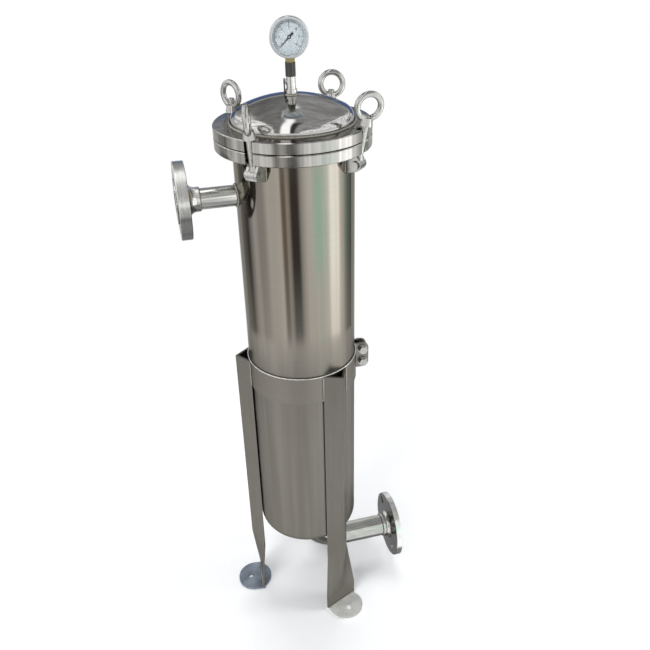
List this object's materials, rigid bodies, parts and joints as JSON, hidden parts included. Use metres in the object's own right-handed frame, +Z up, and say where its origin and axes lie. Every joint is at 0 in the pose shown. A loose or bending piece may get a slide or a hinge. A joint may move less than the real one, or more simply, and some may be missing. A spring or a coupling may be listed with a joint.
{
  "type": "bag filter housing",
  "caption": "Upright steel bag filter housing with a domed swing-bolt lid, pressure gauge, side inlet, bottom outlet bend and a clamped three-leg stand.",
  "frame": {"origin": "on the vessel axis at floor level, in the plane of the three feet's undersides", "axes": "+Z up along the vessel axis, +X towards the outlet flange, -X towards the inlet flange"},
  "size_m": [0.436, 0.3226, 1.3111],
  "materials": {
    "polished_steel": "mirror polish",
    "turned_steel": "turned and lightly polished",
    "satin_steel": "satin",
    "bright_steel": "electropolished casting",
    "seal_rubber": "matt",
    "bag_felt": "needle felt",
    "bag_plastic": "moulded",
    "dark_steel": "dark oxide",
    "gauge_brass": "machined",
    "dial_white": "printed enamel",
    "needle_black": "matt paint",
    "gauge_glass": "clear"
  },
  "bodies": {
    "stand": {"leg_1": "satin_steel", "leg_2": "satin_steel", "leg_3": "satin_steel", "foot_1": "bright_steel", "foot_2": "bright_steel", "foot_3": "bright_steel", "clamp_band": "satin_steel", "clamp_bolts": "bright_steel", "clamp_nuts": "bright_steel", "clamp_washers": "bright_steel"},
    "vessel": {"shell": "polished_steel", "bottom_head": "polished_steel", "body_flange": "turned_steel", "inlet_pipe": "polished_steel", "inlet_flange": "turned_steel", "outlet_bend": "polished_steel", "outlet_flange": "turned_steel", "basket_seat": "satin_steel", "basket": "satin_steel", "filter_bag": "bag_felt", "bag_collar": "bag_plastic", "hold_down_ring": "satin_steel", "hinge_lugs": "bright_steel", "hinge_pins": "bright_steel", "pin_clips": "bright_steel", "lid_seal": "seal_rubber", "lid_flange": "turned_steel", "lid_dome": "polished_steel", "gauge_socket": "polished_steel", "gauge_cock": "polished_steel", "gauge_union_nut": "dark_steel", "gauge_stem": "gauge_brass", "gauge_case": "satin_steel", "gauge_bezel": "polished_steel", "gauge_dial": "dial_white", "gauge_glass": "gauge_glass"},
    "bolt_1": {"swing_bolt_1": "bright_steel"},
    "nut_1": {"eye_nut_1": "bright_steel"},
    "bolt_2": {"swing_bolt_2": "bright_steel"},
    "nut_2": {"eye_nut_2": "bright_steel"},
    "bolt_3": {"swing_bolt_3": "bright_steel"},
    "nut_3": {"eye_nut_3": "bright_steel"},
    "bolt_4": {"swing_bolt_4": "bright_steel"},
    "nut_4": {"eye_nut_4": "bright_steel"},
    "lever": {"cock_lever": "satin_steel"},
    "needle": {"gauge_needle": "needle_black"}
  },
  "joints": [
    {"name": "vessel_height", "type": "slide", "parent": "stand", "child": "vessel", "axis": [0, 0, 1], "range_m": [-0.015, 0.06]},
    {"name": "bolt_1_swing", "type": "hinge", "parent": "vessel", "child": "bolt_1", "pos_m": [-0.08811, -0.09285, 1.08], "axis": [0.7254, -0.6884, 0], "range_deg": [-6, 144]},
    {"name": "eye_nut_1_spin", "type": "hinge", "parent": "bolt_1", "child": "nut_1", "pos_m": [-0.09266, -0.09764, 1.14285], "axis": [-0.072, -0.0758, 0.9945], "continuous": true},
    {"name": "bolt_2_swing", "type": "hinge", "parent": "vessel", "child": "bolt_2", "pos_m": [-0.09285, 0.08811, 1.08], "axis": [-0.6884, -0.7254, 0], "range_deg": [0, 150]},
    {"name": "eye_nut_2_spin", "type": "hinge", "parent": "bolt_2", "child": "nut_2", "pos_m": [-0.09285, 0.08811, 1.1417], "axis": [0, 0, 1], "continuous": true},
    {"name": "bolt_3_swing", "type": "hinge", "parent": "vessel", "child": "bolt_3", "pos_m": [0.08811, 0.09285, 1.08], "axis": [-0.7254, 0.6884, 0], "range_deg": [-10, 140]},
    {"name": "eye_nut_3_spin", "type": "hinge", "parent": "bolt_3", "child": "nut_3", "pos_m": [0.09583, 0.10099, 1.14362], "axis": [0.1195, 0.126, 0.9848], "continuous": true},
    {"name": "bolt_4_swing", "type": "hinge", "parent": "vessel", "child": "bolt_4", "pos_m": [0.09285, -0.08811, 1.08], "axis": [0.6884, 0.7254, 0], "range_deg": [-11.5, 138.5]},
    {"name": "eye_nut_4_spin", "type": "hinge", "parent": "bolt_4", "child": "nut_4", "pos_m": [0.10301, -0.09776, 1.14889], "axis": [0.1446, -0.1372, 0.9799], "continuous": true},
    {"name": "cock_lever_turn", "type": "hinge", "parent": "vessel", "child": "lever", "pos_m": [-0.01098, 0.00223, 1.20596], "axis": [0.9799, -0.1994, 0], "range_deg": [0, 90]},
    {"name": "needle_turn", "type": "hinge", "parent": "vessel", "child": "needle", "pos_m": [0, 0, 1.27846], "axis": [0.1994, 0.9799, 0], "range_deg": [0, 270], "stiffness_Nm_per_rad": 0.0005}
  ]
}
